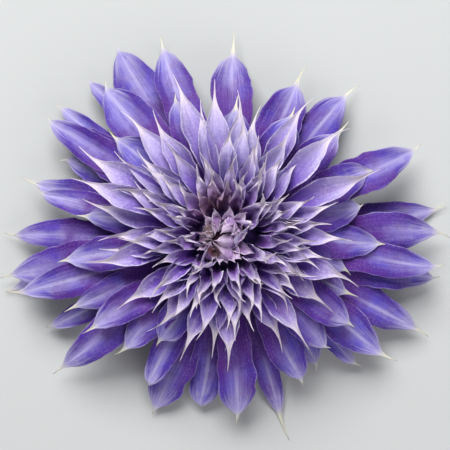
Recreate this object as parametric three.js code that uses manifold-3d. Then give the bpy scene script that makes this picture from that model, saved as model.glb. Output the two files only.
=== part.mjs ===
// A double clematis flower, picked with a short stem and lying face up on a level surface.
// Millimetres, +Z up. The origin is on the surface, under the middle of the flower's outline.
import * as THREE from "three";
import { mergeVertices } from "three/addons/utils/BufferGeometryUtils.js";
import Module from "manifold-3d";

const wasm = await Module();
wasm.setup();

const DEGREE = Math.PI / 180;
const GOLDEN_ANGLE = 137.508;
const SEED = 20417;

// The flower's axis, seen from the middle of its uneven outline
const FLOWER_AXIS = { x: 1.5, y: 0.5 };

// Blades, for sepals and petals alike. Each ends in an awn, a thin point that the blade flares into.
const BLADE_THICKNESS = 0.6;
const HANDLE_SHARE = 0.38;
const BASE_SHARE = 0.25;
const AWN_NARROWING = 0.8;
const FLARE_FALL = 4;
const COLUMNS = [-1, 0, 1];
const SLIVER_TOLERANCE = 0.005;

// Edge of a blade: how it widens and narrows, with the half widths of the awn and of the flare
const SEPAL_EDGE = { widen: 2, narrow: 0.66, sideNarrow: 0.24, awn: 0.4, flare: 0.9 };
const LONG_EDGE = { widen: 2.6, narrow: 1.4, awn: 0.35, flare: 0.5 };
const DOME_EDGE = { widen: 2.4, narrow: 1.25, awn: 0.35, flare: 0.5 };
const HEART_EDGE = { widen: 0.75, narrow: 0.7, awn: 0.25, flare: 0.2 };

// Where a blade has its cross sections, as shares of its length up to the awn
const SEPAL_STATIONS = [0, 0.36, 0.68, 0.9, 1];
const PETAL_STATIONS = [0, 0.4, 0.74, 1];
const SHORT_STATIONS = [0, 0.6, 1];
const HEART_STATIONS = [0, 0.3, 0.55, 0.8, 1];

// Long violet sepals: azimuth from +X, reach, width, awn, and rank from the back, 0 to 3.
const LONG_SEPALS = [
  [7, 59.4, 9.7, 5, 0],
  [1, 59.2, 11.3, 5, 2],
  [-8.2, 58.1, 9.7, 4, 3],
  [-13, 57.6, 11.8, 3, 1],
  [-25.6, 60.3, 10.2, 6, 0],
  [-37, 56.2, 11, 6, 2],
  [-45, 50, 6, 3, 1],
  [-55, 43.8, 9.7, 3, 0],
  [-64, 44.9, 10.2, 3, 3],
  [-74.7, 58, 6.7, 9, 0],
  [-88, 50.8, 10.8, 4, 2],
  [-101.5, 47.1, 10, 1, 1],
  [-112.5, 53, 11.3, 3, 0],
  [-120, 45.7, 8.1, 1, 3],
  [-142.5, 60.3, 10.2, 5, 2],
  [-153.3, 55.7, 7, 3, 1],
  [-163.9, 62.1, 10.2, 6, 3],
  [-166.5, 62.9, 9.1, 4, 0],
  [-170.5, 63.1, 11.8, 5, 1],
  [-178.7, 61.1, 9.1, 5, 0],
  [168.5, 53.2, 7.5, 3, 3],
  [164.7, 58.3, 8.6, 6, 2],
  [154, 50, 8.6, 3, 1],
  [147.3, 58.8, 9.4, 3, 2],
  [142.5, 58.5, 6.5, 3, 0],
  [146.4, 52.6, 11.8, 3, 3],
  [132.5, 56.8, 6, 2, 1],
  [129.5, 53.4, 13.4, 3, 2],
  [120.3, 59.7, 12.9, 2, 0],
  [110.5, 56.8, 10.8, 5, 1],
  [88.3, 55.1, 11.2, 8, 1],
  [66.6, 50, 11.8, 7.5, 2],
  [50.9, 53.3, 10.6, 6, 1],
  [26, 57, 11.2, 4.5, 2],
];
// These four bend down to the surface and carry the flower.
const RESTING_AZIMUTHS = [7, 120.3, -166.5, -74.7];

// Shorter violet sepals that lie on the long ones: azimuth, reach, width, awn, rank 0 or 1.
const SHORT_SEPALS = [
  [25.3, 43.3, 10.8, 4, 0],
  [12.9, 36.2, 10.2, 2, 1],
  [-2.3, 41.4, 9.6, 3, 0],
  [-15, 33.5, 9.1, 3, 1],
  [-27, 37.7, 8, 5, 0],
  [-37.5, 40.9, 9.6, 3, 1],
  [-51, 40, 9.1, 2, 0],
  [-123.8, 35.2, 9.1, 3, 1],
  [-133, 44.4, 9.7, 5, 0],
  [-144.6, 46.8, 9.1, 5, 1],
  [-156, 48.6, 8.1, 5, 0],
  [-7.8, 31.5, 9, 2, 1],
  [-172, 46.2, 9.7, 4, 1],
  [172, 41, 8.6, 4, 0],
  [140, 42, 10.8, 4, 0],
  [112, 40, 10, 3, 1],
  [88.8, 37.1, 9.1, 5, 0],
  [62, 38, 9.6, 4, 1],
  [43.7, 43.6, 9.8, 6, 0],
];

// Pale lilac petals that stand over the violet sepals: azimuth, reach, width.
const LONG_PETALS = [
  [151, 46, 7.4],
  [160.5, 44.3, 6.6],
  [130.2, 43.3, 7],
  [125, 38.5, 6.5],
  [170.7, 39.8, 6],
  [-168.5, 39.3, 6.5],
  [107.4, 44.8, 7],
  [98.5, 41, 6.5],
  [88, 38, 6.5],
  [75.5, 35, 6.2],
  [60.7, 42.2, 6.8],
  [43.8, 42, 7],
  [26.5, 43, 7],
  [-22, 36.3, 6.5],
  [-35.1, 34, 7],
  [-54.9, 36.4, 6.5],
  [-66.4, 33.6, 6],
  [-86.7, 30, 6],
  [-92.5, 35.8, 6.5],
  [-100.7, 32.4, 6],
  [-110, 35.5, 6],
  [-128.5, 33.4, 6.2],
  [-146, 36, 6.5],
  [-178.5, 34.4, 5.8],
];

// Pale petals of the dome, a golden angle apart from the outside in, each shifted a little at random
const DOME_PLACES = {
  seed: 5,
  count: 75,
  firstAzimuth: 142,
  turnSpread: 9,
  reaches: [31.5, 12.5],
  reachSpread: 1.5,
  crowding: 1.15,
  widths: [5.4, 3.5],
  widthSpread: 0.5,
};
// The side that the dome spreads further to, and by how much
const DOME_SPREADING = { azimuth: 130, longer: 0.17 };

// Broad petals beside the heart: azimuth, reach, width.
const CROWN_PETALS = [
  [38, 13, 6],
  [-36, 11.5, 4.6],
  [16, 6.6, 7.6],
];

// Petals closed over the heart's point: azimuth, root, tip, width, tip height, handle share, cup.
const HEART_PETALS = [
  [-2, 5.7, 0.3, 5, 33.6, 0.62, 0.9],
  [-44, 5.8, 0.3, 4.8, 33, 0.76, 0.9],
  [42, 5.6, 2.4, 4.2, 34.2, 0.7, 0.3],
  [20, 6.2, 4.6, 3.6, 33.4, 0.5, 0.6],
  [-102, 3.3, 0.4, 1.7, 32.4, 0.75, -0.5],
  [-146, 1.8, 0.5, 1.7, 32.2, 0.62, -0.5],
  [176, 1.5, 0.5, 1.7, 32.5, 0.6, -0.5],
  [146, 1.9, 0.5, 1.8, 32.7, 0.62, -0.4],
  [114, 2.6, 0.6, 2.2, 32.6, 0.66, -0.4],
  [82, 3.8, 1.2, 2.6, 33, 0.75, -0.3],
];

// Petals that curl outwards round the heart: azimuth, reach, width, tip height, dip.
const HEART_CURLS = [
  [-107, 5.7, 3.2, 30, -35],
  [-80, 6.1, 3.6, 30.4, -30],
  [-41, 6.9, 4.2, 31.2, 4],
  [-138, 5, 2.4, 29.8, -30],
  [-166, 4.5, 2.1, 30.2, -20],
  [166, 4.5, 2.2, 30.6, -20],
];

// The hub that the violet sepals grow from
const HUB = { bottom: 10.4, top: 16.6, bottomRadius: 5.5, topRadius: 7.2 };
const SEPAL_ROOT_RADIUS = 4;
const RANK_STEP = 0.95;

// How blades leave their roots and end. Each spread is a random part on top, angles are in degrees.
const LONG_SEPAL = {
  root: 11,
  rise: 10,
  riseStep: 2,
  tips: [2.2, 4.2, 6.4, 8.6],
  tipSpread: 0.9,
  dip: -22,
  dipSpread: 6,
  restingDip: -4,
  roll: 3,
  sway: 1.2,
  cup: 0.08,
  cupSpread: 0.05,
};
const SHORT_SEPAL = {
  root: 14.7,
  rise: 20,
  tips: [13.4, 15.2],
  tipSpread: 0.8,
  dip: -24,
  dipSpread: 5,
  roll: 4,
  sway: 1,
  cup: 0.12,
  cupSpread: 0.05,
};
const LONG_PETAL = {
  awn: 7,
  lowerRoot: 0.9,
  rise: 27,
  tip: 20.3,
  upperTip: 1.6,
  tipSpread: 0.6,
  dip: -16,
  dipSpread: 6,
  roll: 6,
  sway: 2.4,
  cup: 0.3,
  cupSpread: 0.08,
};

// The dome runs from its outermost petal, low and flat, to its innermost, high and steep.
const DOME_OUTER = { reach: 36, tip: 23, awn: 5.6, rootRadius: 9.6, root: 19.8, rise: 32, dip: -6 };
const DOME_INNER = { reach: 10.4, tip: 37, awn: 2.4, rootRadius: 6.4, root: 23.8, rise: 84, dip: 66 };
const DOME = { steepening: 1.33, tipSpread: 1.1, dipSpread: 12, roll: 24, sway: 2.4, cup: 0.42, cupSpread: 0.14 };
const SHORT_PETAL_SHARE = 0.42;

// Lower petals between those of the dome
const FILLERS = { count: 12, turnSpread: 6, reach: [33, 13], crowding: 0.8, width: [5.4, 3.8] };

// The core that the pale petals grow from
const CORE = { bottom: 16.9, footRadius: 4.5, waist: 20.4, radius: 11.2, shoulder: 23.2, top: 24.8 };
const CORE_SHOULDER_RADIUS = 9.6;
const CORE_TOP_RADIUS = 7;

// The tight bud of undeveloped petals in the middle leans off the axis, and its petals meet at a point.
const HEART_OFFSET = { x: -2, y: -1.3 };
const HEART_POINT = { x: -4.4, y: -1.2 };
const HEART_CORE = [[0, 25.1], [4.2, 25.1], [4.7, 26.2], [4.5, 27.2], [3.4, 28.6], [2.2, 30], [0, 30.5]];
const HEART_ROOT = 26.1;
const HEART_PETAL = { awn: 0.8, rise: 64, riseSpread: 4, dip: 178, dipSpread: 6, roll: 5, sway: 0.4 };
const HEART_CURL = { awn: 0.8, root: 2.6, rise: 78, dipSpread: 6, roll: 14, sway: 0.8, cup: 0.5 };
// How far the innermost pale petals lean the same way, growing towards the middle
const CROWN_LEAN = { x: -2, y: -1.1, growth: 2 };

// Stem: a round stalk that widens to the receptacle and bends over onto the surface
const STEM = { radius: 1.2, azimuth: 165, end: 37, bendEnd: 10, bendPull: 2.45, sides: 10, steps: 16 };
const STALK_TOP = 7.9;
const STALK_PULL = 3.4;
const RECEPTACLE = [[0, 6.4], [1.2, 6.4], [1.8, 8.25], [4.6, 10.1], [0, 10.1]];
const ROUND_SEGMENTS = 20;

function seededRandom(seed) {
  let state = seed >>> 0;
  return () => {
    state = (state + 0x6d2b79f5) >>> 0;
    let mixed = Math.imul(state ^ (state >>> 15), state | 1);
    mixed ^= mixed + Math.imul(mixed ^ (mixed >>> 7), mixed | 61);
    return ((mixed ^ (mixed >>> 14)) >>> 0) / 4294967296;
  };
}

const spreadFrom = (random) => (amount) => amount * (2 * random() - 1);
const spread = spreadFrom(seededRandom(SEED));
const { clamp, lerp: mix } = THREE.MathUtils;

// Solids

function solidOf(geometry) {
  const bare = geometry.clone();
  bare.deleteAttribute("normal");
  bare.deleteAttribute("uv");
  const merged = mergeVertices(bare);
  const corners = Array.from(merged.index.array);
  const triangles = [];
  for (let i = 0; i < corners.length; i += 3) {
    const [a, b, c] = corners.slice(i, i + 3);
    if (a !== b && b !== c && c !== a) triangles.push(a, b, c);
  }
  const vertProperties = Float32Array.from(merged.attributes.position.array);
  return new wasm.Manifold(
    new wasm.Mesh({ numProp: 3, vertProperties, triVerts: Uint32Array.from(triangles) }),
  );
}

function largestPiece(solid) {
  return solid.decompose().reduce((largest, piece) => (piece.volume() > largest.volume() ? piece : largest));
}

// One body: loose scraps are dropped, hollows sealed by the join are filled, and slivers are merged.
function fuse(solids) {
  const body = largestPiece(wasm.Manifold.union(solids));
  return largestPiece(body.asOriginal().simplify(SLIVER_TOLERANCE));
}

function meshOf(name, solid, material) {
  const { vertProperties, triVerts } = solid.getMesh();
  const geometry = new THREE.BufferGeometry();
  geometry.setAttribute("position", new THREE.BufferAttribute(vertProperties, 3));
  geometry.setIndex(new THREE.BufferAttribute(triVerts, 1));
  geometry.computeVertexNormals();
  const mesh = new THREE.Mesh(geometry, material);
  mesh.name = name;
  return mesh;
}

// A solid turned about the flower's axis, from points of radius and height
function turned(profile) {
  const points = profile.map(([radius, height]) => new THREE.Vector2(radius, height));
  const geometry = new THREE.LatheGeometry(points, ROUND_SEGMENTS);
  return solidOf(geometry.rotateX(Math.PI / 2));
}

// Blades

const polar = (degrees, length) =>
  new THREE.Vector2(Math.cos(degrees * DEGREE), Math.sin(degrees * DEGREE)).multiplyScalar(length);

// The middle line of a blade, in its own upright plane through the axis: radius and height
function spineOf({ root, rise, reach, tip, dip, handleShare = HANDLE_SHARE }) {
  const start = new THREE.Vector2(root.radius, root.height);
  const end = new THREE.Vector2(reach, tip);
  const handle = start.distanceTo(end) * handleShare;
  const leaving = start.clone().add(polar(rise, handle));
  const arriving = end.clone().sub(polar(dip, handle));
  return new THREE.CubicBezierCurve(start, leaving, arriving, end);
}

function halfWidth(blade, u) {
  const { widen, narrow, awn, flare } = blade.edge;
  const t = Math.min(u / (1 - blade.awnShare), 1);
  const alongAwn = Math.max((u - 1 + blade.awnShare) / blade.awnShare, 0);
  const widest = widen / (widen + narrow);
  const leaf = (t / widest) ** widen * ((1 - t) / (1 - widest)) ** narrow;
  const shape = mix(leaf, 1 - t, BASE_SHARE * (1 - t));
  const point = awn * (1 - AWN_NARROWING * alongAwn) + flare * (1 - alongAwn) ** FLARE_FALL;
  return (blade.width / 2 - awn - flare) * shape + point;
}

function bladePoint(blade, u, v, lift) {
  const centre = blade.spine.getPoint(u);
  const along = blade.spine.getTangent(u);
  const half = halfWidth(blade, u);
  const side = v * half * Math.cos(blade.roll * DEGREE) + blade.sway * u * u;
  const rise = v * half * Math.sin(blade.roll * DEGREE) + blade.cup * half * Math.abs(v) + lift;
  const radius = centre.x - along.y * rise;
  const height = centre.y + along.x * rise;
  const cos = Math.cos(blade.azimuth * DEGREE);
  const sin = Math.sin(blade.azimuth * DEGREE);
  const { x, y } = blade.foot ?? { x: 0, y: 0 };
  return [x + radius * cos - side * sin, y + radius * sin + side * cos, height];
}

// A closed blade: two faces split into triangles alike, and the wall between their edges
function bladeSolid(blade) {
  const stations = [...blade.stations.map((share) => share * (1 - blade.awnShare)), 1];
  const rows = stations.length;
  const columns = COLUMNS.length;
  const positions = [];
  for (const lift of [BLADE_THICKNESS / 2, -BLADE_THICKNESS / 2]) {
    for (const u of stations) {
      for (const v of COLUMNS) positions.push(...bladePoint(blade, u, v, lift));
    }
  }
  const under = rows * columns;
  const at = (row, column) => row * columns + column;
  const triangles = [];
  for (let row = 0; row < rows - 1; row++) {
    for (let column = 0; column < columns - 1; column++) {
      const a = at(row, column);
      const b = at(row + 1, column);
      const c = at(row + 1, column + 1);
      const d = at(row, column + 1);
      triangles.push(a, b, c, a, c, d);
      triangles.push(under + a, under + c, under + b, under + a, under + d, under + c);
    }
  }
  const rim = rimOf(rows, columns, at);
  rim.forEach((from, i) => {
    const to = rim[(i + 1) % rim.length];
    triangles.push(under + from, under + to, to, under + from, to, from);
  });
  const geometry = new THREE.BufferGeometry();
  geometry.setAttribute("position", new THREE.Float32BufferAttribute(positions, 3));
  geometry.setIndex(triangles);
  return solidOf(geometry);
}

// The corners round the edge of a blade's grid, anticlockwise from above
function rimOf(rows, columns, at) {
  const rim = [];
  for (let row = 0; row < rows - 1; row++) rim.push(at(row, 0));
  for (let column = 0; column < columns - 1; column++) rim.push(at(rows - 1, column));
  for (let row = rows - 1; row > 0; row--) rim.push(at(row, columns - 1));
  for (let column = columns - 1; column > 0; column--) rim.push(at(0, column));
  return rim;
}

function makeBlade(shape) {
  const spine = spineOf(shape);
  return { ...shape, spine, awnShare: shape.awn / spine.getLength() };
}

// Violet sepals, blunt at the top and the bottom of the flower and more pointed at its sides
function sepalEdge(azimuth) {
  const { narrow, sideNarrow } = SEPAL_EDGE;
  return { ...SEPAL_EDGE, narrow: narrow + sideNarrow * Math.abs(Math.cos(azimuth * DEGREE)) };
}

function longSepal([azimuth, reach, width, awn, rank]) {
  const resting = RESTING_AZIMUTHS.includes(azimuth);
  const { root, rise, riseStep, tips, tipSpread, dip, dipSpread, restingDip } = LONG_SEPAL;
  const droop = spread(tipSpread);
  return makeBlade({
    azimuth,
    reach,
    width,
    awn,
    edge: sepalEdge(azimuth),
    stations: SEPAL_STATIONS,
    root: { radius: SEPAL_ROOT_RADIUS, height: root + RANK_STEP * rank },
    rise: rise + riseStep * rank,
    tip: resting ? BLADE_THICKNESS / 2 : tips[rank] + droop,
    dip: resting ? restingDip : dip + spread(dipSpread),
    ...stanceOf(LONG_SEPAL),
  });
}

// The random roll, sway and cup of a blade, drawn in this order
function stanceOf({ roll, sway, cup, cupSpread }) {
  return { roll: spread(roll), sway: spread(sway), cup: cup + spread(cupSpread) };
}

function shortSepal([azimuth, reach, width, awn, rank]) {
  const { root, rise, tips, tipSpread, dip, dipSpread } = SHORT_SEPAL;
  return makeBlade({
    azimuth,
    reach,
    width,
    awn,
    edge: sepalEdge(azimuth),
    stations: SEPAL_STATIONS,
    root: { radius: SEPAL_ROOT_RADIUS, height: root + RANK_STEP * rank },
    rise,
    tip: tips[rank] + spread(tipSpread),
    dip: dip + spread(dipSpread),
    ...stanceOf(SHORT_SEPAL),
  });
}

function outerSepals() {
  const { bottom, top, bottomRadius, topRadius } = HUB;
  const hub = turned([[0, bottom], [bottomRadius, bottom], [topRadius, top], [0, top]]);
  const blades = [...LONG_SEPALS.map(longSepal), ...SHORT_SEPALS.map(shortSepal)];
  return fuse([hub, ...blades.map(bladeSolid)]);
}

// Pale petals

// Azimuth, reach and width of each petal that the dome's rule places
function domePlaces() {
  const { seed, count, firstAzimuth, turnSpread, reaches, reachSpread, crowding, widths, widthSpread } =
    DOME_PLACES;
  const shift = spreadFrom(seededRandom(seed));
  return Array.from({ length: count }, (_, number) => {
    const share = (number + 0.5) / count;
    const azimuth = firstAzimuth + GOLDEN_ANGLE * number + shift(turnSpread);
    const turn = (azimuth - DOME_SPREADING.azimuth) * DEGREE;
    const longer = DOME_SPREADING.longer * (1 - share) * Math.cos(turn);
    const reach = mix(...reaches, share ** crowding) * (1 + longer) + shift(reachSpread);
    return [azimuth, reach, mix(...widths, share) + shift(widthSpread)];
  });
}

// A petal of the dome, steeper the less far it reaches. Its tip stays in place as its foot leans.
function domePetal([azimuth, reach, width]) {
  const inward = clamp((DOME_OUTER.reach - reach) / (DOME_OUTER.reach - DOME_INNER.reach), 0, 1);
  const share = inward ** DOME.steepening;
  const stance = (key) => mix(DOME_OUTER[key], DOME_INNER[key], share);
  const lean = share ** CROWN_LEAN.growth;
  const foot = { x: lean * CROWN_LEAN.x, y: lean * CROWN_LEAN.y };
  const tip = polar(azimuth, reach).sub(new THREE.Vector2(foot.x, foot.y));
  return makeBlade({
    foot,
    azimuth: tip.angle() / DEGREE,
    reach: tip.length(),
    width,
    awn: stance("awn"),
    edge: DOME_EDGE,
    stations: share > SHORT_PETAL_SHARE ? SHORT_STATIONS : PETAL_STATIONS,
    root: { radius: stance("rootRadius"), height: stance("root") },
    rise: stance("rise"),
    tip: mix(DOME_OUTER.tip, DOME_INNER.tip, inward) + spread(DOME.tipSpread),
    dip: stance("dip") + spread(DOME.dipSpread),
    ...stanceOf(DOME),
  });
}

function fillerPetal(index) {
  const { count, turnSpread, reach, crowding, width } = FILLERS;
  const share = (index + 0.5) / count;
  const azimuth = GOLDEN_ANGLE * index + spread(turnSpread);
  return domePetal([azimuth, mix(...reach, share ** crowding), mix(...width, share)]);
}

function longPetal([azimuth, reach, width], index) {
  const upper = index % 2;
  const { awn, lowerRoot, rise, tip, upperTip, tipSpread, dip, dipSpread } = LONG_PETAL;
  return makeBlade({
    azimuth,
    reach,
    width,
    awn,
    edge: LONG_EDGE,
    stations: PETAL_STATIONS,
    root: { radius: DOME_OUTER.rootRadius, height: DOME_OUTER.root - lowerRoot * (1 - upper) },
    rise,
    tip: tip + upperTip * upper + spread(tipSpread),
    dip: dip + spread(dipSpread),
    ...stanceOf(LONG_PETAL),
  });
}

function innerPetals() {
  const core = turned([
    [0, CORE.bottom],
    [CORE.footRadius, CORE.bottom],
    [CORE.radius, CORE.waist],
    [CORE_SHOULDER_RADIUS, CORE.shoulder],
    [CORE_TOP_RADIUS, CORE.top],
    [0, CORE.top],
  ]);
  const blades = [
    ...[...domePlaces(), ...CROWN_PETALS].map(domePetal),
    ...Array.from({ length: FILLERS.count }, (_, index) => fillerPetal(index)),
    ...LONG_PETALS.map(longPetal),
  ];
  return fuse([core, ...blades.map(bladeSolid)]);
}

// Heart

function heartPetal([azimuth, root, tip, width, height, handleShare, cup]) {
  const { awn, rise, riseSpread, dip, dipSpread, roll, sway } = HEART_PETAL;
  return makeBlade({
    foot: HEART_POINT,
    azimuth,
    reach: tip,
    width,
    awn,
    edge: HEART_EDGE,
    stations: HEART_STATIONS,
    handleShare,
    root: { radius: root, height: HEART_ROOT },
    rise: rise + spread(riseSpread),
    tip: height,
    dip: dip + spread(dipSpread),
    roll: spread(roll),
    sway: spread(sway),
    cup,
  });
}

function heartCurl([azimuth, reach, width, height, dip]) {
  const { awn, root, rise, dipSpread, roll, sway, cup } = HEART_CURL;
  return makeBlade({
    foot: HEART_OFFSET,
    azimuth,
    reach,
    width,
    awn,
    edge: HEART_EDGE,
    stations: SHORT_STATIONS,
    root: { radius: root, height: HEART_ROOT },
    rise,
    tip: height,
    dip: dip + spread(dipSpread),
    roll: spread(roll),
    sway: spread(sway),
    cup,
  });
}

function heart() {
  const core = turned(HEART_CORE).translate([HEART_OFFSET.x, HEART_OFFSET.y, 0]);
  const blades = [...HEART_PETALS.map(heartPetal), ...HEART_CURLS.map(heartCurl)];
  return fuse([core, ...blades.map(bladeSolid)]);
}

// Stem

function stem() {
  const { radius, azimuth, end, bendEnd, bendPull, sides, steps } = STEM;
  const across = polar(azimuth, 1);
  const at = (distance, height) => new THREE.Vector3(distance * across.x, distance * across.y, height);
  const route = new THREE.CurvePath();
  route.add(
    new THREE.CubicBezierCurve3(at(0, STALK_TOP), at(0, STALK_PULL), at(bendPull, radius), at(bendEnd, radius)),
  );
  route.add(new THREE.LineCurve3(at(bendEnd, radius), at(end, radius)));
  const section = new THREE.Shape();
  for (let side = 0; side < sides; side++) {
    const corner = polar((360 * (side + 0.5)) / sides, radius);
    section.lineTo(corner.x, corner.y);
  }
  const stalk = new THREE.ExtrudeGeometry(section, { steps, extrudePath: route });
  return fuse([solidOf(stalk), turned(RECEPTACLE)]);
}

// Finishes

const violet = new THREE.MeshStandardMaterial({ color: "#5f4bb0", roughness: 0.6, metalness: 0 });
const lilac = new THREE.MeshStandardMaterial({ color: "#b9a8dc", roughness: 0.65, metalness: 0 });
const mauve = new THREE.MeshStandardMaterial({ color: "#c5b0cc", roughness: 0.7, metalness: 0 });
const green = new THREE.MeshStandardMaterial({ color: "#6d7a3e", roughness: 0.6, metalness: 0 });

const flower = new THREE.Group();
flower.position.set(FLOWER_AXIS.x, FLOWER_AXIS.y, 0);
flower.add(meshOf("outer_sepals", outerSepals(), violet));
flower.add(meshOf("inner_petals", innerPetals(), lilac));
flower.add(meshOf("heart", heart(), mauve));
flower.add(meshOf("stem", stem(), green));

const group = new THREE.Group();
group.add(flower);

export default group;
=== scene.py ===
"""A double clematis flower lying face up: violet sepals, pale lilac petals, a tight heart and a bent stem."""

import math

import bpy
from bpy.props import FloatProperty, FloatVectorProperty, PointerProperty
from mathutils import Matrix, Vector


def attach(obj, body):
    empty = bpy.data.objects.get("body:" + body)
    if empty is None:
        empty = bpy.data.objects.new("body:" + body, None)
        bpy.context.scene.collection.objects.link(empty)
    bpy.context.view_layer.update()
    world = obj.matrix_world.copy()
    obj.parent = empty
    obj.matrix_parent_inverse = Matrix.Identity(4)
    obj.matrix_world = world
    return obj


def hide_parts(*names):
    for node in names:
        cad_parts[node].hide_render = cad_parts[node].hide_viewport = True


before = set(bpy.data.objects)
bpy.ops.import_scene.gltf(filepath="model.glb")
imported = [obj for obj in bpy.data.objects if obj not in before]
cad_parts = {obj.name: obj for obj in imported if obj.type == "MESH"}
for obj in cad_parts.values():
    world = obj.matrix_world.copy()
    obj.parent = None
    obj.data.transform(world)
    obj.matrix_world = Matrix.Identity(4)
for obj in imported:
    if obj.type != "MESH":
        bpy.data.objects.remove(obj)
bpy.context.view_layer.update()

bl_info = {
    "name": "Double clematis flower",
    "version": (1, 0, 0),
    "blender": (4, 5, 0),
    "location": "3D View > Sidebar > Clematis",
    "description": "Makes a double clematis flower lying on a pale floor",
    "category": "Object",
}

MM = 0.001
DEGREE = math.pi / 180
GOLDEN_ANGLE = 137.508
SEED = 20417
DETAIL_SEED = 977

# The flower's axis, and how the middle of the flower leans away from it
FLOWER_AXIS = (1.5, 0.5)
HEART_OFFSET = (-2.0, -1.3)
CROWN_LEAN = (-2.0, -1.1)

# Blades: how far the handles of the middle line reach, how broad the foot is, and steps to measure along it
HANDLE_SHARE = 0.38
BASE_SHARE = 0.25
LENGTH_STEPS = 60

# Long violet sepals: azimuth from +X, reach, width, awn, and rank from the back, 0 to 3
LONG_SEPALS = (
    (7, 59.4, 9.7, 5, 0),
    (1, 59.2, 11.3, 5, 2),
    (-8.2, 58.1, 9.7, 4, 3),
    (-13, 57.6, 11.8, 3, 1),
    (-25.6, 60.3, 10.2, 6, 0),
    (-37, 56.2, 11, 6, 2),
    (-45, 50, 6, 3, 1),
    (-55, 43.8, 9.7, 3, 0),
    (-64, 44.9, 10.2, 3, 3),
    (-74.7, 58, 6.7, 9, 0),
    (-88, 50.8, 10.8, 4, 2),
    (-101.5, 47.1, 10, 1, 1),
    (-112.5, 53, 11.3, 3, 0),
    (-120, 45.7, 8.1, 1, 3),
    (-142.5, 60.3, 10.2, 5, 2),
    (-153.3, 55.7, 7, 3, 1),
    (-163.9, 62.1, 10.2, 6, 3),
    (-166.5, 62.9, 9.1, 4, 0),
    (-170.5, 63.1, 11.8, 5, 1),
    (-178.7, 61.1, 9.1, 5, 0),
    (168.5, 53.2, 7.5, 3, 3),
    (164.7, 58.3, 8.6, 6, 2),
    (154, 50, 8.6, 3, 1),
    (147.3, 58.8, 9.4, 3, 2),
    (142.5, 58.5, 6.5, 3, 0),
    (146.4, 52.6, 11.8, 3, 3),
    (132.5, 56.8, 6, 2, 1),
    (129.5, 53.4, 13.4, 3, 2),
    (120.3, 59.7, 12.9, 2, 0),
    (110.5, 56.8, 10.8, 5, 1),
    (88.3, 55.1, 11.2, 8, 1),
    (66.6, 50, 11.8, 7.5, 2),
    (50.9, 53.3, 10.6, 6, 1),
    (26, 57, 11.2, 4.5, 2),
)
# Long sepals that bend down and rest on the surface, and the height of their tips
RESTING_AZIMUTHS = (7, 120.3, -166.5, -74.7)
REST_HEIGHT = 0.3

# Shorter violet sepals that lie on the long ones: azimuth, reach, width, awn, rank 0 or 1
SHORT_SEPALS = (
    (25.3, 43.3, 10.8, 4, 0),
    (12.9, 36.2, 10.2, 2, 1),
    (-2.3, 41.4, 9.6, 3, 0),
    (-15, 33.5, 9.1, 3, 1),
    (-27, 37.7, 8, 5, 0),
    (-37.5, 40.9, 9.6, 3, 1),
    (-51, 40, 9.1, 2, 0),
    (-123.8, 35.2, 9.1, 3, 1),
    (-133, 44.4, 9.7, 5, 0),
    (-144.6, 46.8, 9.1, 5, 1),
    (-156, 48.6, 8.1, 5, 0),
    (-7.8, 31.5, 9, 2, 1),
    (-172, 46.2, 9.7, 4, 1),
    (172, 41, 8.6, 4, 0),
    (140, 42, 10.8, 4, 0),
    (112, 40, 10, 3, 1),
    (88.8, 37.1, 9.1, 5, 0),
    (62, 38, 9.6, 4, 1),
    (43.7, 43.6, 9.8, 6, 0),
)

# Pale lilac petals laid out over the violet sepals: azimuth, reach, width
LONG_PETALS = (
    (151, 46, 7.4),
    (160.5, 44.3, 6.6),
    (130.2, 43.3, 7),
    (125, 38.5, 6.5),
    (170.7, 39.8, 6),
    (-168.5, 39.3, 6.5),
    (107.4, 44.8, 7),
    (98.5, 41, 6.5),
    (88, 38, 6.5),
    (75.5, 35, 6.2),
    (60.7, 42.2, 6.8),
    (43.8, 42, 7),
    (26.5, 43, 7),
    (-22, 36.3, 6.5),
    (-35.1, 34, 7),
    (-54.9, 36.4, 6.5),
    (-66.4, 33.6, 6),
    (-86.7, 30, 6),
    (-92.5, 35.8, 6.5),
    (-100.7, 32.4, 6),
    (-110, 35.5, 6),
    (-128.5, 33.4, 6.2),
    (-146, 36, 6.5),
    (-178.5, 34.4, 5.8),
)

# Pale petals of the dome, a golden angle apart from the outside in, each shifted a little at random
DOME_SEED = 5
DOME_COUNT = 75
DOME_FIRST_AZIMUTH = 142
DOME_TURN_SPREAD = 9
DOME_REACHES = (31.5, 12.5)
DOME_REACH_SPREAD = 1.5
DOME_CROWDING = 1.15
DOME_WIDTHS = (5.4, 3.5)
DOME_WIDTH_SPREAD = 0.5
# The side that the dome spreads further to, and by how much
DOME_LONG_SIDE = 130
DOME_LONGER = 0.17

# Broad petals beside the heart: azimuth, reach, width
CROWN_PETALS = (
    (38, 13, 6),
    (-36, 11.5, 4.6),
    (16, 6.6, 7.6),
)

# Petals closed over the heart's point: azimuth, root, tip, width, tip height, handle share, cup
HEART_PETALS = (
    (-2, 5.7, 0.3, 5, 33.6, 0.62, 0.9),
    (-44, 5.8, 0.3, 4.8, 33, 0.76, 0.9),
    (42, 5.6, 2.4, 4.2, 34.2, 0.7, 0.3),
    (20, 6.2, 4.6, 3.6, 33.4, 0.5, 0.6),
    (-102, 3.3, 0.4, 1.7, 32.4, 0.75, -0.5),
    (-146, 1.8, 0.5, 1.7, 32.2, 0.62, -0.5),
    (176, 1.5, 0.5, 1.7, 32.5, 0.6, -0.5),
    (146, 1.9, 0.5, 1.8, 32.7, 0.62, -0.4),
    (114, 2.6, 0.6, 2.2, 32.6, 0.66, -0.4),
    (82, 3.8, 1.2, 2.6, 33, 0.75, -0.3),
)

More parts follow.
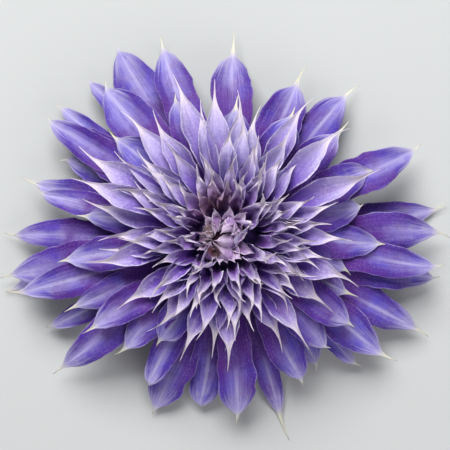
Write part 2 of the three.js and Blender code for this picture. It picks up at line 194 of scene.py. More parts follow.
# Petals that curl outwards round the heart: azimuth, reach, width, tip height, dip
HEART_CURLS = (
    (-107, 5.7, 3.2, 30, -35),
    (-80, 6.1, 3.6, 30.4, -30),
    (-41, 6.9, 4.2, 31.2, 4),
    (-138, 5, 2.4, 29.8, -30),
    (-166, 4.5, 2.1, 30.2, -20),
    (166, 4.5, 2.2, 30.6, -20),
)
# More of them, between these and further out, in the scene alone
HEART_FRILLS = (
    (-150, 5.7, 3.0, 32.2, 20),
    (-178, 5.6, 2.8, 32.6, 28),
    (150, 5.4, 2.8, 33.2, 30),
    (-122, 5.9, 3.0, 31.8, 12),
    (-95, 6.3, 3.2, 31.4, 0),
    (124, 5.4, 2.6, 33.4, 35),
    (-62, 6.6, 3.2, 31.6, 5),
    (-163, 7.0, 2.4, 31.8, 10),
    (60, 5.6, 3.4, 34.6, 40),
    (84, 5.0, 3.0, 34.8, 50),
    (104, 4.4, 2.4, 34.2, 45),
    (24, 6.6, 3.6, 34.6, 50),
    (50, 9.5, 4.2, 33.5, 40),
    (75, 8.8, 3.8, 34, 50),
    (100, 8.4, 3.6, 33.8, 48),
    (128, 8, 3.4, 33, 38),
    (-20, 8.8, 3.4, 32.4, 25),
)

# How the violet sepals leave the hub, and where their tips hang
SEPAL_ROOT_RADIUS = 4.0
LOWEST_SEPAL_ROOT = 11.0
RANK_STEP = 0.95
LONG_SEPAL_RISE = 10.0
SHORT_SEPAL_ROOT = 14.7
SHORT_SEPAL_RISE = 20.0
LONG_SEPAL_TIPS = (2.2, 4.2, 6.4, 8.6)
SHORT_SEPAL_TIPS = (13.4, 15.2)

# The dome runs from its outermost petal, low and flat, to its innermost, high and steep
DOME_REACH = (36.0, 10.4)
DOME_TIP = (23.0, 37.0)
DOME_STEEPENING = 1.33
DOME_RISES = (32, 84)
DOME_DIPS = (-6, 66)
DOME_AWNS = (5.6, 2.4)
PETAL_ROOT_RADII = (9.6, 6.4)
PETAL_ROOT_HEIGHTS = (19.8, 23.8)

# Lower petals that fill the dome between the others
DOME_FILLERS = 12
FILLER_TURN_SPREAD = 6
FILLER_REACHES = (33, 13)
FILLER_CROWDING = 0.8
FILLER_WIDTHS = (5.4, 3.8)

# The core that the pale petals grow from, as radius and height
CORE_PROFILE = (
    (0, 16.9),
    (4.5, 16.9),
    (9, 18.6),
    (11.2, 20.4),
    (10.9, 21.8),
    (9.6, 23.2),
    (8, 24.2),
    (5, 24.8),
    (0, 24.9),
)

# The heart, and the brown core under its petals
HEART_BOTTOM = 25.1
HEART_PROFILE = (
    (0, 25.1),
    (4.2, 25.1),
    (4.7, 26.2),
    (4.5, 27.2),
    (3.4, 28.6),
    (2.2, 30),
    (0, 30.5),
)
HEART_POINT = (-4.4, -1.2)

# The hub that the violet sepals grow from
HUB_PROFILE = (
    (0, 10.4),
    (5.5, 10.4),
    (6.2, 12.2),
    (6.8, 14.4),
    (7.2, 16.6),
    (0, 16.6),
)

# Stalk: its route in its own upright plane, as distance from the axis and height, and its receptacle
STEM_AZIMUTH = 165.0
STEM_BEND = ((0, 7.9), (0, 3.4), (2.45, 1.2), (10, 1.2))
STEM_END = 37.0
STEM_RADIUS = 1.2
STEM_RIBS = 6
STEM_RIB_DEPTH = 0.06
STEM_RIB_TWIST = 1.2
RECEPTACLE_PROFILE = (
    (0, 6.4),
    (1.15, 6.4),
    (1.25, 7.2),
    (1.8, 8.25),
    (2.9, 9.1),
    (4.1, 9.7),
    (4.6, 10.1),
    (0, 10.1),
)

# Places beside and in the heart with colour laid on: brown and pink petals, painted shade on the petals right
# of the heart, and brown and olive hollows; middle, then the radii where the colour is full and gone
BROWN_PETALS = ((-2.0, 6.2, 31.0), (1.5, 6.0))
PINK_PETALS = ((-2.0, 7.0, 31.0), (4.0, 9.5))
# Painted shade on the petals to the right of the heart
PAINTED_SHADE_PETALS = ((5.8, -1.4, 29.0), (2.0, 5.5))
# A dark brown hollow: partly the brown inside it, partly painted shade
BROWN_AND_SHADED_HOLLOW = ((-2.5, -3.4, 32.0), (1.4, 2.2))
OLIVE_HOLLOW = ((-4.2, 1.6, 32.0), (0.8, 3.6))
# How fine the grain of their outlines is
SPOT_GRAIN = 700.0

# The side where the violet sepals are painted darkest, as painted shade, how much paleness varies, and the
# core's deepest colour, a near black that is painted shade
PAINTED_SHADE_SIDE = -65
PALENESS_SPREAD = 0.2
CORE_PAINTED_SHADE = (0.012, 0.005, 0.03, 1.0)

# Camera: straight above, with the photograph's framing
CAMERA_HEIGHT = 0.55
CAMERA_MIDDLE = (0.15, 3.2)
FRAME_WIDTH = 121.0
SENSOR_WIDTH = 36.0
SEPAL_LEVEL = 6.0

# Lights, in metres: place, side, share of the key light's power, and tint
KEY_LIGHT = ((-0.12, 0.5, 0.62), 0.5, 1.0, (1.0, 0.97, 0.97))
FILL_LIGHT = ((0.35, -0.55, 0.5), 0.6, 0.22, (1.0, 0.96, 1.0))
LIGHT_TARGET = (0, 0, 0.02)
SKY_TINT = (1.0, 0.94, 1.0, 1.0)


def srgb(red, green, blue):
    """A colour of 0 to 255 parts as a linear colour."""
    def linear(part):
        share = part / 255
        return share / 12.92 if share <= 0.04045 else ((share + 0.055) / 1.055) ** 2.4

    return (linear(red), linear(green), linear(blue), 1.0)


def colour(name, description, default):
    """A colour that a user may change."""
    return FloatVectorProperty(
        name=name, description=description, subtype="COLOR", size=4, min=0.0, max=1.0, default=srgb(*default)
    )


def length(name, description, default):
    """A small length that a user may change, given in millimetres."""
    return FloatProperty(name=name, description=description, default=default * MM, min=0.0, unit="LENGTH")


def mix(start, end, share):
    """The value at a share of the way from start to end."""
    return start + (end - start) * share


# Random draws, the same as in the part's solids

class Draws:
    """A row of random numbers that is the same each run."""

    WHOLE = 0xFFFFFFFF
    STRIDE = 0x6D2B79F5

    def __init__(self, seed):
        self.state = seed & self.WHOLE

    def number(self):
        """The next number from 0 to 1."""
        self.state = (self.state + self.STRIDE) & self.WHOLE
        mixed = ((self.state ^ (self.state >> 15)) * (self.state | 1)) & self.WHOLE
        mixed ^= (mixed + (((mixed ^ (mixed >> 7)) * (mixed | 61)) & self.WHOLE)) & self.WHOLE
        return ((mixed ^ (mixed >> 14)) & self.WHOLE) / (self.WHOLE + 1)

    def spread(self, amount):
        """The next number from -amount to amount."""
        return amount * (2 * self.number() - 1)


# Blades: the shape of each sepal and petal, in millimetres and degrees

def make_blade(
    azimuth, reach, width, awn, root, rise, tip, dip, handle_share=HANDLE_SHARE, foot=(0.0, 0.0), **shape
):
    """A blade's middle line as four points of radius and height, with the rest of its shape."""
    span = math.hypot(reach - root[0], tip - root[1]) * handle_share
    rise, dip = math.radians(rise), math.radians(dip)
    line = (
        root,
        (root[0] + span * math.cos(rise), root[1] + span * math.sin(rise)),
        (reach - span * math.cos(dip), tip - span * math.sin(dip)),
        (reach, tip),
    )
    awn_share = awn / line_length(line)
    blade = dict(shape, azimuth=azimuth, width=width, awn=awn_share, foot_x=foot[0], foot_y=foot[1])
    for number, (radius, height) in enumerate(line):
        blade[f"r{number}"] = radius
        blade[f"z{number}"] = height
    return blade


def line_point(line, share):
    """The point of a Bezier line at a share of its length."""
    back = 1 - share
    weights = (back**3, 3 * back**2 * share, 3 * back * share**2, share**3)
    return tuple(sum(w * p[axis] for w, p in zip(weights, line)) for axis in range(2))


def line_length(line):
    """The length of a Bezier line."""
    points = [line_point(line, step / LENGTH_STEPS) for step in range(LENGTH_STEPS + 1)]
    return sum(math.dist(a, b) for a, b in zip(points, points[1:]))


def sepal_outline(azimuth):
    """A sepal's outline: blunt at the top and the bottom of the flower, more pointed at its sides."""
    return {"widen": 2, "narrow": 0.66 + 0.24 * abs(math.cos(math.radians(azimuth)))}


def long_sepal(draws, azimuth, reach, width, awn, rank):
    """One of the long violet sepals at the back."""
    resting = azimuth in RESTING_AZIMUTHS
    droop = draws.spread(0.9)
    return make_blade(
        azimuth,
        reach,
        width,
        awn,
        root=(SEPAL_ROOT_RADIUS, LOWEST_SEPAL_ROOT + RANK_STEP * rank),
        rise=LONG_SEPAL_RISE + 2 * rank,
        tip=REST_HEIGHT if resting else LONG_SEPAL_TIPS[rank] + droop,
        dip=-4 if resting else -22 + draws.spread(6),
        roll=draws.spread(3),
        sway=draws.spread(1.2),
        cup=0.08 + draws.spread(0.05),
        **sepal_outline(azimuth),
    )


def short_sepal(draws, azimuth, reach, width, awn, rank):
    """One of the shorter violet sepals."""
    return make_blade(
        azimuth,
        reach,
        width,
        awn,
        root=(SEPAL_ROOT_RADIUS, SHORT_SEPAL_ROOT + RANK_STEP * rank),
        rise=SHORT_SEPAL_RISE,
        tip=SHORT_SEPAL_TIPS[rank] + draws.spread(0.8),
        dip=-24 + draws.spread(5),
        roll=draws.spread(4),
        sway=draws.spread(1),
        cup=0.12 + draws.spread(0.05),
        **sepal_outline(azimuth),
    )


def petal_root(share):
    """Where a pale petal grows, from 0 at the back of the core to 1 at its top."""
    return (mix(*PETAL_ROOT_RADII, share), mix(*PETAL_ROOT_HEIGHTS, share))


def dome_places():
    """Azimuth, reach and width of each petal that the dome's rule places."""
    draws = Draws(DOME_SEED)
    places = []
    for number in range(DOME_COUNT):
        share = (number + 0.5) / DOME_COUNT
        azimuth = DOME_FIRST_AZIMUTH + GOLDEN_ANGLE * number + draws.spread(DOME_TURN_SPREAD)
        longer = DOME_LONGER * (1 - share) * math.cos(math.radians(azimuth - DOME_LONG_SIDE))
        reach = mix(*DOME_REACHES, share**DOME_CROWDING) * (1 + longer) + draws.spread(DOME_REACH_SPREAD)
        width = mix(*DOME_WIDTHS, share) + draws.spread(DOME_WIDTH_SPREAD)
        places.append((azimuth, reach, width))
    return places


def dome_petal(draws, azimuth, reach, width):
    """One of the pale petals of the dome, steeper the less far it reaches."""
    inward = min(max((DOME_REACH[0] - reach) / (DOME_REACH[0] - DOME_REACH[1]), 0), 1)
    share = inward**DOME_STEEPENING
    foot = (share**2 * CROWN_LEAN[0], share**2 * CROWN_LEAN[1])
    tip_x = reach * math.cos(math.radians(azimuth)) - foot[0]
    tip_y = reach * math.sin(math.radians(azimuth)) - foot[1]
    return make_blade(
        math.degrees(math.atan2(tip_y, tip_x)),
        math.hypot(tip_x, tip_y),
        width,
        awn=mix(*DOME_AWNS, share),
        root=petal_root(share),
        rise=mix(*DOME_RISES, share),
        foot=foot,
        tip=mix(*DOME_TIP, inward) + draws.spread(1.1),
        dip=mix(*DOME_DIPS, share) + draws.spread(12),
        roll=draws.spread(24),
        sway=draws.spread(2.4),
        cup=0.42 + draws.spread(0.14),
        share=share,
        widen=2.4,
        narrow=1.25,
    )


def filler_petal(draws, index):
    """One of the lower petals that fill the dome between the others."""
    share = (index + 0.5) / DOME_FILLERS
    azimuth = GOLDEN_ANGLE * index + draws.spread(FILLER_TURN_SPREAD)
    reach = mix(*FILLER_REACHES, share**FILLER_CROWDING)
    return dome_petal(draws, azimuth, reach, mix(*FILLER_WIDTHS, share))


def long_petal(draws, index, azimuth, reach, width):
    """One of the pale petals laid out over the violet sepals."""
    upper = index % 2
    root = petal_root(0)
    return make_blade(
        azimuth,
        reach,
        width,
        awn=7,
        root=(root[0], root[1] - 0.9 * (1 - upper)),
        rise=27,
        tip=20.3 + 1.6 * upper + draws.spread(0.6),
        dip=-16 + draws.spread(6),
        roll=draws.spread(6),
        sway=draws.spread(2.4),
        cup=0.3 + draws.spread(0.08),
        share=0.0,
        widen=2.6,
        narrow=1.4,
    )


def heart_petal(draws, azimuth, root, tip, width, height, handle_share, cup):
    """One of the petals that close over the heart towards its point."""
    return make_blade(
        azimuth,
        tip,
        width,
        awn=0.8,
        handle_share=handle_share,
        root=(root, HEART_BOTTOM + 1),
        rise=64 + draws.spread(4),
        tip=height,
        dip=178 + draws.spread(6),
        roll=draws.spread(5),
        sway=draws.spread(0.4),
        cup=cup,
        foot=HEART_POINT,
        share=1.0,
        widen=0.75,
        narrow=0.7,
    )


def heart_curl(draws, azimuth, reach, width, height, dip):
    """One of the short petals that curl outwards round the heart."""
    return make_blade(
        azimuth,
        reach,
        width,
        awn=0.8,
        root=(2.6, HEART_BOTTOM + 1),
        rise=78,
        tip=height,
        dip=dip + draws.spread(6),
        roll=draws.spread(14),
        sway=draws.spread(0.8),
        cup=0.5,
        foot=HEART_OFFSET,
        share=1.0,
        widen=0.75,
        narrow=0.7,
    )


def paleness(kind, azimuth):
    """How pale a blade is. Petals are paler towards the top of the bloom, as painted light; sepals are paler
    towards its left and darker towards its top and towards the painted shade side, as painted light and
    shade.
    """
    upward = math.sin(math.radians(azimuth))
    if kind.endswith("sepals"):
        return 0.44 - 0.16 * upward - 0.46 * max(math.cos(math.radians(azimuth - PAINTED_SHADE_SIDE)), 0)
    if kind in ("curls", "frills"):
        return 0.8
    if kind == "heart":
        return 0.4 + 0.5 * math.cos(math.radians(azimuth))
    return 0.45 + 0.45 * upward


def all_blades():
    """Every blade of the flower, by kind, drawn in the order of the part's solids."""
    draws = Draws(SEED)
    kinds = {
        "long_sepals": [long_sepal(draws, *row) for row in LONG_SEPALS],
        "short_sepals": [short_sepal(draws, *row) for row in SHORT_SEPALS],
        "dome": [dome_petal(draws, *row) for row in (*dome_places(), *CROWN_PETALS)],
        "fillers": [filler_petal(draws, index) for index in range(DOME_FILLERS)],
        "long_petals": [long_petal(draws, index, *row) for index, row in enumerate(LONG_PETALS)],
        "heart": [heart_petal(draws, *row) for row in HEART_PETALS],
        "curls": [heart_curl(draws, *row) for row in HEART_CURLS],
    }
    detail = Draws(DETAIL_SEED)
    kinds["frills"] = [heart_curl(detail, *row) for row in HEART_FRILLS]
    for kind, blades in kinds.items():
        for blade in blades:
            # Paleness holds painted light and shade by side for sepals and petals, with a random spread
            pale = paleness(kind, blade["azimuth"]) + detail.spread(PALENESS_SPREAD)
            blade["pale"] = min(max(pale, 0), 1)
            blade["phase"] = detail.number()
            blade["tone"] = detail.number()
            for name in ("twist", "hook", "bend"):
                blade[name] = detail.spread(1)
    return kinds


# Node trees

class Field:
    """A number in a node tree that joins others in plain sums."""

    def __init__(self, tree, socket):
        self.tree = tree
        self.socket = socket

    def math(self, operation, *others):
        """The result of one Math node."""
        node = self.tree.nodes.new("ShaderNodeMath")
        node.operation = operation
        for socket, value in zip(node.inputs, (self, *others)):
            feed(self.tree, socket, value)
        return Field(self.tree, node.outputs[0])

    def __add__(self, other):
        return self.math("ADD", other)

    def __sub__(self, other):
        return self.math("SUBTRACT", other)

    def __mul__(self, other):
        return self.math("MULTIPLY", other)

    def __truediv__(self, other):
        return self.math("DIVIDE", other)

    def __pow__(self, other):
        return self.math("POWER", other)

    def __radd__(self, other):
        return self + other

    def __rmul__(self, other):
        return self * other

    def __rsub__(self, other):
        return self * -1 + other

    def size(self):
        """The value without its sign."""
        return self.math("ABSOLUTE")

    def swing(self, amount):
        """A value of 0 to 1 turned into one that swings about zero, over the amount in all."""
        return (self - 0.5) * amount

    def step(self, start, end):
        """0 at start and 1 at end, with a smooth slope between."""
        settings = {"interpolation_type": "SMOOTHSTEP"}
        node = add_node(self.tree, "ShaderNodeMapRange", settings, Value=self, From_Min=start, From_Max=end)
        return Field(self.tree, node.outputs["Result"])


def feed(tree, socket, value):
    """Links a field or a socket to an input, or sets a plain value on it."""
    if isinstance(value, Field):
        tree.links.new(value.socket, socket)
    elif isinstance(value, bpy.types.NodeSocket):
        tree.links.new(value, socket)
    else:
        socket.default_value = value


def feed_inputs(tree, node, values):
    """Feeds a node's inputs by name. An underscore stands for a space."""
    for name, value in values.items():
        feed(tree, node.inputs[name.replace("_", " ")], value)


def add_node(tree, kind, settings=None, **inputs):
    """A new node with its settings made and its inputs fed."""
    node = tree.nodes.new(kind)
    for name, value in (settings or {}).items():
        setattr(node, name, value)
    feed_inputs(tree, node, inputs)
    return node


def pass_on(tree, kind, geometry, settings=None, **inputs):
    """The geometry as one more node leaves it."""
    return add_node(tree, kind, settings, Geometry=geometry, **inputs).outputs["Geometry"]


def vector(tree, x, y, z):
    """Three numbers as one vector."""
    return add_node(tree, "ShaderNodeCombineXYZ", X=x, Y=y, Z=z).outputs["Vector"]


def noise(tree, place, scale=1.0, detail=3.0):
    """A soft random pattern, from 0 to 1."""
    node = add_node(tree, "ShaderNodeTexNoise", Vector=place, Scale=scale, Detail=detail)
    return Field(tree, node.outputs["Fac"])


TREE_NAME = "Clematis blades"
BLADE_INPUTS = {
    "Sides": 24,
    "Rows": 30,
    "Thickness": 0.3,
    "Awn width": 0.5,
    "Flare": 0.4,
    "Ragged": 0.06,
    "Bend": 1.0,
    "Snake": 0.5,
    "Ripple": 0.4,
    "Ripples": 2.5,
    "Liveliness": 0.0,
    "Tip fold": 1.0,
    "Margin curl": 0.0,
    "Midrib": 0.1,
    "Crumple": 0.3,
    "Twist": 6.0,
    "Awn hook": 1.0,
    "Material": None,
}
SOCKET_KINDS = {int: "NodeSocketInt", float: "NodeSocketFloat", type(None): "NodeSocketMaterial"}

# What the seed point of a blade carries: its middle line, its shape and what its finish reads
BLADE_LINE = tuple(f"{axis}{number}" for axis in "rz" for number in range(4))
BLADE_SHAPE = (
    "azimuth",
    "width",
    "awn",
    "widen",
    "narrow",
    "roll",
    "sway",
    "cup",
    "foot_x",
    "foot_y",
    "phase",
    "twist",
    "hook",
    "bend",
)
BLADE_FINISH = ("awn", "tone", "pale", "share")
BLADE_SEED = tuple(dict.fromkeys(BLADE_LINE + BLADE_SHAPE + BLADE_FINISH))
SLEEVE_MARKS = ("across", "face", "along")

# How fast the ragged margin and the crumples change along and across a blade and from blade to blade
RAGGED_PATTERN = (9, 7, 60)
CRUMPLE_PATTERN = (5, 1.3, 90)

# Shares of a blade's length between which its waves, crumples, midrib and twist grow or fade
RIPPLE_GROWS = (0.1, 0.5)
RIPPLE_FADES = (0.8, 0.98)
CRUMPLE_GROWS = (0.1, 0.4)
CRUMPLE_FADES = (0.85, 1.0)
MIDRIB_FADES = (0.75, 0.95)
TWIST_GROWS = (0.2, 1.0)
BEND_START = 0.55

# Shares of the way from a blade's middle to its margin where the midrib fades and raggedness grows
MIDRIB_EDGE = (0.0, 0.3)
RAGGED_EDGE = (0.1, 0.6)

# How the cup grows towards the margin, how waves slant across, and how awn and blade thin to the tip
CUP_POWER = 1.4
WAVE_SLANT = 0.17
AWN_TAPER = 0.8
THICK_FOOT = 1.15
THINNING = 0.65


def new_geometry_tree(name, inputs):
    """A Geometry Nodes tree with the named inputs, its group input and its group output."""
    tree = bpy.data.node_groups.new(name, "GeometryNodeTree")
    tree.is_modifier = True
    tree.interface.new_socket("Geometry", in_out="OUTPUT", socket_type="NodeSocketGeometry")
    tree.interface.new_socket("Geometry", in_out="INPUT", socket_type="NodeSocketGeometry")
    for label, default in inputs.items():
        socket = tree.interface.new_socket(label, in_out="INPUT", socket_type=SOCKET_KINDS[type(default)])
        if default is not None:
            socket.default_value = default
    return tree, tree.nodes.new("NodeGroupInput"), tree.nodes.new("NodeGroupOutput")


def attribute(tree, name):
    """A named attribute of the geometry."""
    node = add_node(tree, "GeometryNodeInputNamedAttribute", {"data_type": "FLOAT"}, Name=name)
    return Field(tree, node.outputs["Attribute"])


def bezier(points, u):
    """The value and the slope of a Bezier line at u, along one axis."""
    a, b, c, d = points
    back = 1 - u
    value = back**3 * a + back**2 * u * 3 * b + back * u**2 * 3 * c + u**3 * d
    slope = back**2 * (b - a) + back * u * 2 * (c - b) + u**2 * (d - c)
    return value, slope


def blade_noise(tree, along, across, phase, pattern):
    """A random pattern over a blade, from -1 to 1."""
    place = vector(tree, along * pattern[0], across * pattern[1], phase * pattern[2])
    return noise(tree, place, detail=2.0).swing(2)


def blade_sleeves(tree, points, look):
    """A closed sleeve on each point, with the place along it, across it and on which face kept on it."""
    sleeve = add_node(
        tree,
        "GeometryNodeMeshCylinder",
        {"fill_type": "NGON"},
        Vertices=look["Sides"],
        Side_Segments=look["Rows"],
        Radius=1.0,
        Depth=1.0,
    )
    copies = add_node(tree, "GeometryNodeInstanceOnPoints", Points=points, Instance=sleeve.outputs["Mesh"])
    geometry = pass_on(tree, "GeometryNodeRealizeInstances", copies.outputs["Instances"])
    position = tree.nodes.new("GeometryNodeInputPosition").outputs["Position"]
    place = add_node(tree, "ShaderNodeSeparateXYZ", Vector=position)
    along = Field(tree, place.outputs["Z"]) + 0.5
    for name, value in zip(SLEEVE_MARKS, (place.outputs["X"], place.outputs["Y"], along)):
        geometry = pass_on(
            tree,
            "GeometryNodeStoreNamedAttribute",
            geometry,
            {"data_type": "FLOAT", "domain": "POINT"},
            Name=name,
            Value=value,
        )
    return geometry


def half_width(tree, look, blade, awn_share):
    """Half of a blade's width along it, from its foot to its awn, with a ragged margin."""
    u, v, widening, narrowing = (blade[name] for name in ("along", "across", "widen", "narrow"))
    widest = widening / (widening + narrowing)
    blade_share = (u / (1 - blade["awn"])).math("MINIMUM", 1.0)
    leaf = (blade_share / widest) ** widening * ((1 - blade_share) / (1 - widest)) ** narrowing
    shape = leaf + ((1 - blade_share) - leaf) * BASE_SHARE * (1 - blade_share)
    ragged = blade_noise(tree, u, v.math("SIGN"), blade["phase"], RAGGED_PATTERN)
    ragged = 1 + ragged * look["Ragged"] * v.size().step(*RAGGED_EDGE)
    stalk = look["Awn width"] * 0.5
    taper = stalk * (1 - awn_share * AWN_TAPER) + look["Flare"] * (1 - awn_share) ** 4
    return (blade["width"] * 0.5 - stalk - look["Flare"]) * shape * ragged + taper


def blade_lift(tree, look, blade, half):
    """How far a blade's faces stand off: cup, curled margin, waves, crumples, midrib and thickness."""
    u, v, phase = blade["along"], blade["across"], blade["phase"]
    edge = v.size()
    fold = blade["cup"] * (1 + look["Tip fold"] * u**2)
    wave = ((u * look["Ripples"] + phase + v * WAVE_SLANT) * math.tau).math("SINE")
    lively = 1 + blade["share"] * look["Liveliness"]
    ripple = look["Ripple"] * lively * edge**2 * wave * u.step(*RIPPLE_GROWS)
    ripple = ripple * (1 - u.step(*RIPPLE_FADES))
    crumple = look["Crumple"] * lively * blade_noise(tree, u, v, phase, CRUMPLE_PATTERN)
    crumple = crumple * u.step(*CRUMPLE_GROWS) * (1 - u.step(*CRUMPLE_FADES))
    rib = look["Midrib"] * (1 - edge.step(*MIDRIB_EDGE)) * (1 - u.step(*MIDRIB_FADES))
    thickness = blade["face"] * look["Thickness"] * 0.5 * (THICK_FOOT - u * THINNING)
    cup = half * fold * edge**CUP_POWER
    return cup + half * look["Margin curl"] * edge**5 + ripple + crumple - rib + thickness


def blade_position(tree, look, blade):
    """Where each point of a blade goes, in metres."""
    u, v = blade["along"], blade["across"]
    awn_share = ((u - 1 + blade["awn"]) / blade["awn"]).math("MAXIMUM", 0.0)
    half = half_width(tree, look, blade, awn_share)
    radius, radius_slope = bezier([blade[f"r{number}"] for number in range(4)], u)
    height, height_slope = bezier([blade[f"z{number}"] for number in range(4)], u)
    speed = (radius_slope**2 + height_slope**2) ** 0.5
    out, up = radius_slope / speed, height_slope / speed
    roll = (blade["roll"] + blade["twist"] * look["Twist"] * u.step(*TWIST_GROWS)) * DEGREE
    rise = v * half * roll.math("SINE") + blade_lift(tree, look, blade, half)
    hook = blade["hook"] * look["Awn hook"] * awn_share**2
    snake = blade["bend"] * look["Snake"] * (u * math.tau).math("SINE") * u
    bend = blade["bend"] * look["Bend"] * (u - BEND_START).math("MAXIMUM", 0.0) ** 2 * 4
    radius = radius - up * rise
    side = v * half * roll.math("COSINE") + blade["sway"] * u**2 + snake + hook
    height = height + out * rise + hook * 0.5 + bend
    azimuth = blade["azimuth"] * DEGREE
    cos, sin = azimuth.math("COSINE"), azimuth.math("SINE")
    x = (blade["foot_x"] + FLOWER_AXIS[0] + radius * cos - side * sin) * MM
    y = (blade["foot_y"] + FLOWER_AXIS[1] + radius * sin + side * cos) * MM
    return vector(tree, x, y, height * MM)


def blade_tree():
    """A tree that grows one closed blade for each point of a seed mesh, from the point's attributes."""
    tree, given, result = new_geometry_tree(TREE_NAME, BLADE_INPUTS)
    look = {name: Field(tree, given.outputs[name]) for name in BLADE_INPUTS}
    blade = {name: attribute(tree, name) for name in (*SLEEVE_MARKS, *BLADE_LINE, *BLADE_SHAPE, "share")}
    sleeves = blade_sleeves(tree, given.outputs["Geometry"], look)
    position = blade_position(tree, look, blade)
    geometry = pass_on(tree, "GeometryNodeSetPosition", sleeves, Position=position)
    geometry = pass_on(tree, "GeometryNodeSetShadeSmooth", geometry)
    geometry = pass_on(tree, "GeometryNodeRealizeInstances", geometry)
    geometry = pass_on(tree, "GeometryNodeSetMaterial", geometry, Material=look["Material"])
    feed_inputs(tree, result, {"Geometry": geometry})
    return tree


# Pieces

def add_object(name, data):
    """A new object in the scene, for a mesh, a light or a camera."""
    thing = bpy.data.objects.new(name, data)
    bpy.context.collection.objects.link(thing)
    return thing


def settle(piece):
    """Turns the result of a piece's modifiers into its own plain mesh."""
    graph = bpy.context.evaluated_depsgraph_get()
    made = piece.evaluated_get(graph)
    mesh = bpy.data.meshes.new_from_object(made, preserve_all_data_layers=True, depsgraph=graph)
    piece.modifiers.clear()
    mesh.name = piece.name
    piece.data = mesh


def seed_mesh(name, blades):
    """A mesh of one point for each blade, with the blade's shape as attributes."""
    mesh = bpy.data.meshes.new(name)
    mesh.from_pydata([(0.0, 0.0, 0.0)] * len(blades), [], [])
    for key in BLADE_SEED:
        values = mesh.attributes.new(key, "FLOAT", "POINT")
        values.data.foreach_set("value", [float(blade.get(key, 0.0)) for blade in blades])
    return mesh


def grow_blades(name, blades, **values):
    """A piece of blades, with only the attributes that its finish reads left on it."""
    tree = bpy.data.node_groups.get(TREE_NAME) or blade_tree()
    piece = add_object(name, seed_mesh(name + "_seed", blades))
    modifier = piece.modifiers.new("Nodes", "NODES")
    modifier.node_group = tree
    for item in tree.interface.items_tree:
        key = item.name.lower().replace(" ", "_")
        if item.item_type == "SOCKET" and item.in_out == "INPUT" and key in values:
            modifier[item.identifier] = values[key]
    settle(piece)
    for key in BLADE_SEED:
        if key not in BLADE_FINISH:
            piece.data.attributes.remove(piece.data.attributes[key])
    return piece


def stand_for(piece, node):
    """Rides a piece on the flower and lets it stand for a solid."""
    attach(piece, "root")
    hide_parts(node)


def smooth_piece(name, spots, faces, material):
    """A piece with smooth faces, from places given in millimetres from the flower's axis."""
    x, y = FLOWER_AXIS
    mesh = bpy.data.meshes.new(name)
    mesh.from_pydata([((x + px) * MM, (y + py) * MM, pz * MM) for px, py, pz in spots], [], faces)
    mesh.shade_smooth()
    mesh.materials.append(material)
    return add_object(name, mesh)


def lathe(name, profile, material, middle=(0.0, 0.0), segments=48):
    """A closed turned piece from a profile of radius and height whose ends are on the axis."""
    rows, faces, spots = [], [], []
    for radius, height in profile:
        copies = segments if radius else 1
        rows.append(list(range(len(spots), len(spots) + copies)))
        for step in range(copies):
            turn = math.tau * step / segments
            spots.append((middle[0] + radius * math.cos(turn), middle[1] + radius * math.sin(turn), height))
    for low, high in zip(rows, rows[1:]):
        for step in range(segments):
            after = (step + 1) % segments
            if len(low) == 1:
                faces.append((low[0], high[after], high[step]))
            elif len(high) == 1:
                faces.append((low[step], low[after], high[0]))
            else:
                faces.append((low[step], low[after], high[after], high[step]))
    return smooth_piece(name, spots, faces, material)


def stem_route(steps):
    """Points down the stalk, from the receptacle to the cut end, with the way it runs at each."""
    bend_end = STEM_BEND[3]
    points = [line_point(STEM_BEND, step / steps) for step in range(steps)]
    straight = STEM_END - bend_end[0]
    points += [(bend_end[0] + straight * step / steps, bend_end[1]) for step in range(steps + 1)]
    ways = []
    for number in range(len(points)):
        before, after = points[max(number - 1, 0)], points[min(number + 1, len(points) - 1)]
        ways.append(math.atan2(after[1] - before[1], after[0] - before[0]))
    return points, ways


def make_stalk(name, material, steps=40, segments=36):
    """A ribbed stalk swept along its route, closed at both ends."""
    points, ways = stem_route(steps)
    cos, sin = math.cos(math.radians(STEM_AZIMUTH)), math.sin(math.radians(STEM_AZIMUTH))
    spots, faces = [], []
    for number, ((distance, height), way) in enumerate(zip(points, ways)):
        share = number / (len(points) - 1)
        for step in range(segments):
            turn = math.tau * step / segments
            rib = math.cos(STEM_RIBS * turn + STEM_RIB_TWIST * share)
            wide = STEM_RADIUS * (1 - STEM_RIB_DEPTH + STEM_RIB_DEPTH * rib)
            side, up = wide * math.cos(turn), wide * math.sin(turn)
            out = distance - up * math.sin(way)
            spots.append((out * cos - side * sin, out * sin + side * cos, height + up * math.cos(way)))
    for row in range(len(points) - 1):
        for step in range(segments):
            after = (step + 1) % segments
            low, high = row * segments, (row + 1) * segments
            faces.append((low + step, high + step, high + after, low + after))
    faces.append(tuple(range(segments)))
    faces.append(tuple(reversed(range(len(spots) - segments, len(spots)))))
    return smooth_piece(name, spots, faces, material)


# Finishes

# The sockets of a Mix node that blend colours
MIX_SHARE = 0
MIX_FIRST = 6
MIX_SECOND = 7
MIX_RESULT = 2


